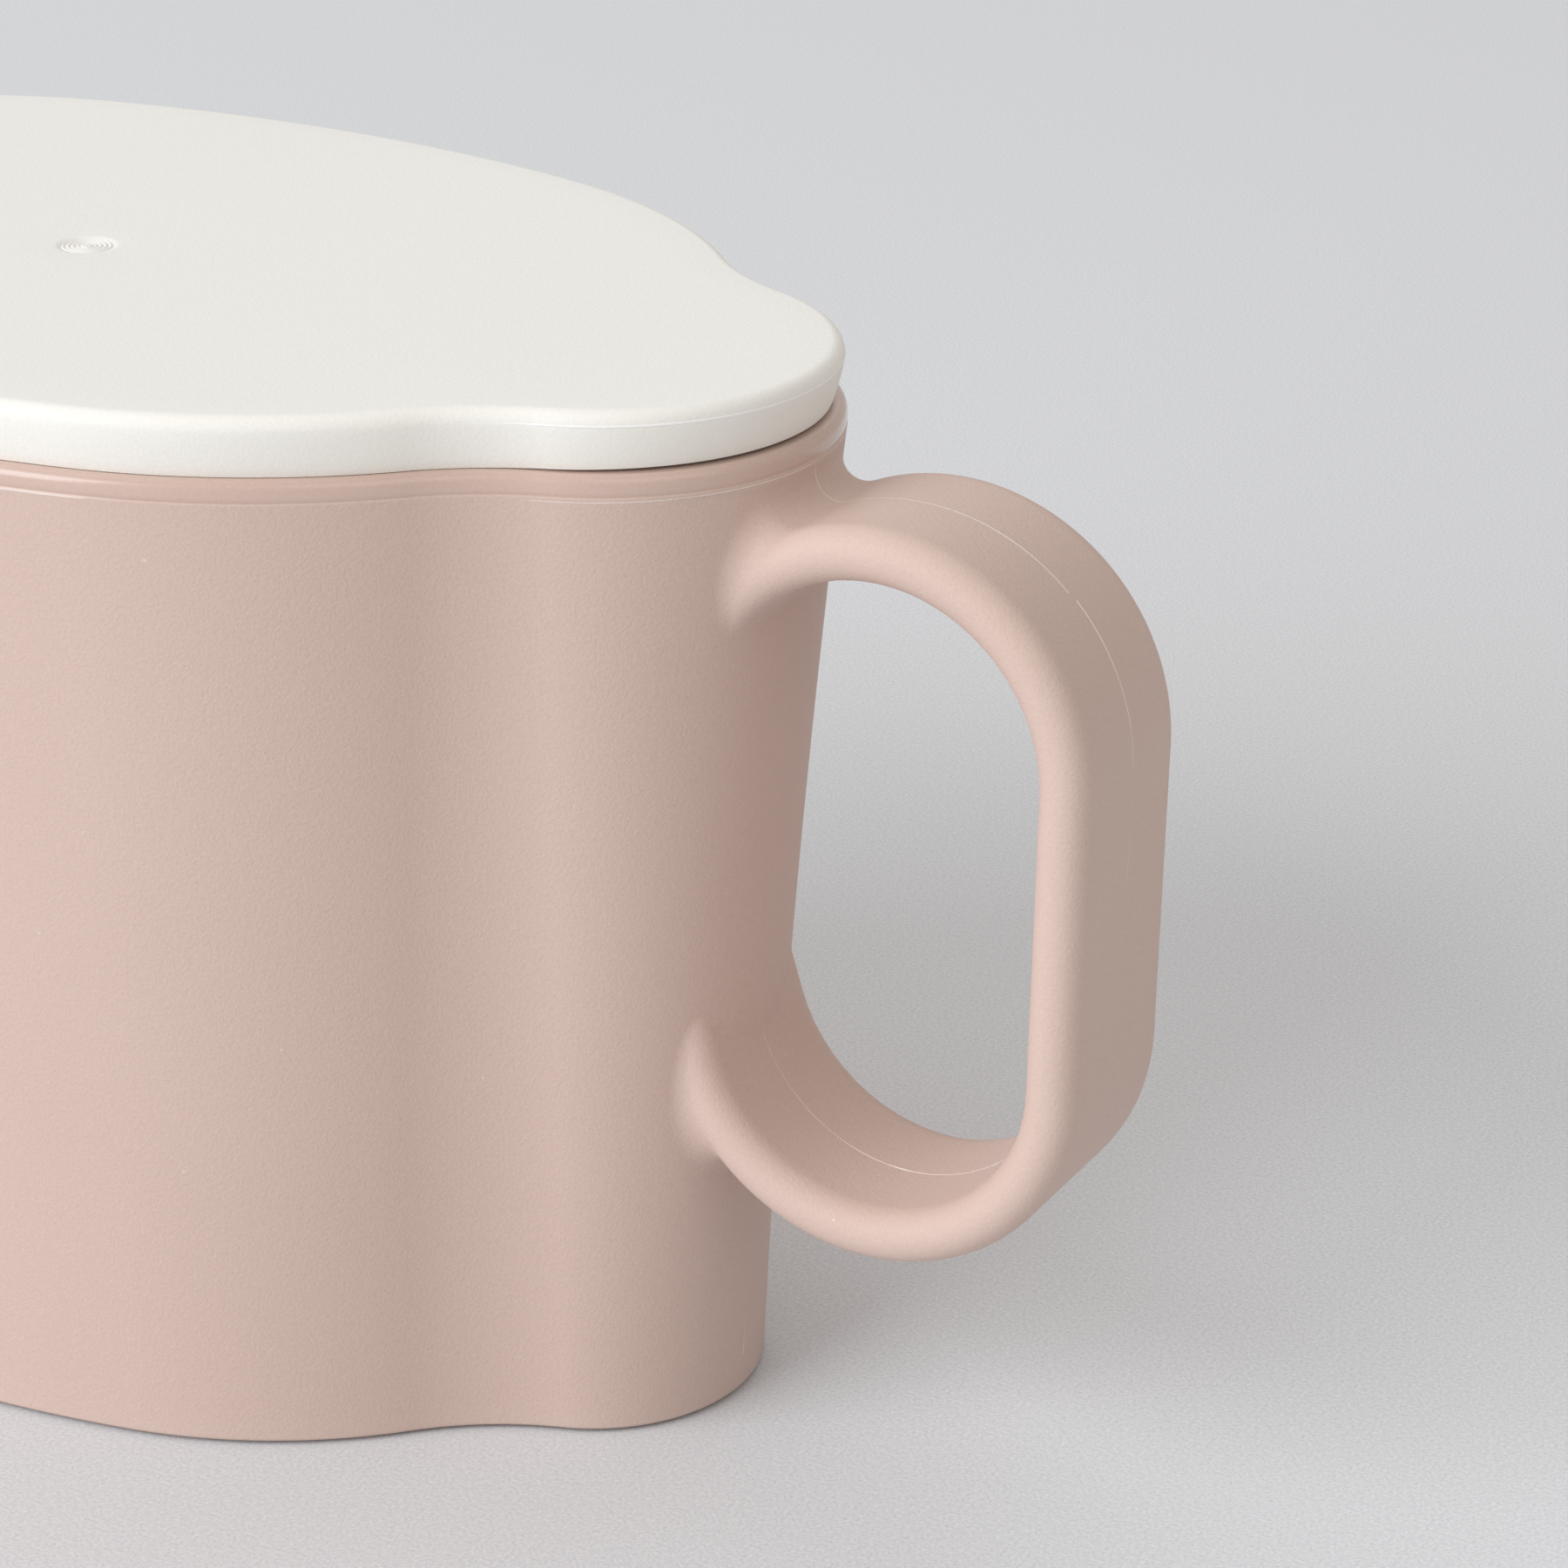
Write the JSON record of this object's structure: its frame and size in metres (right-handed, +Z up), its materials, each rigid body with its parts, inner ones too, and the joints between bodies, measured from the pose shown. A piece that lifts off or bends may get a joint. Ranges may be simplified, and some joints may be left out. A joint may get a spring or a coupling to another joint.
{
  "type": "soup mug",
  "caption": "Lidded soup mug with a lobed oval cup, a flat lid of the same outline that drops onto the rim, and a tall ring handle at one end.",
  "frame": {"origin": "on the surface the mug stands on, below the middle of its whole length and width, handle included", "axes": "+X from the cup towards the handle, +Z up from the foot to the lid, +Y across the mug"},
  "size_m": [0.157, 0.0764, 0.0865],
  "materials": {
    "cup_plastic": "fine matte mould texture, smooth rim",
    "lid_plastic": "fine matte mould texture"
  },
  "bodies": {
    "mug": {"mug_body": "cup_plastic"},
    "lid": {"lid": "lid_plastic"}
  },
  "joints": [
    {"name": "lid_lift", "type": "slide", "parent": "mug", "child": "lid", "axis": [0, 0, 1], "range_m": [0, 0.08]}
  ]
}
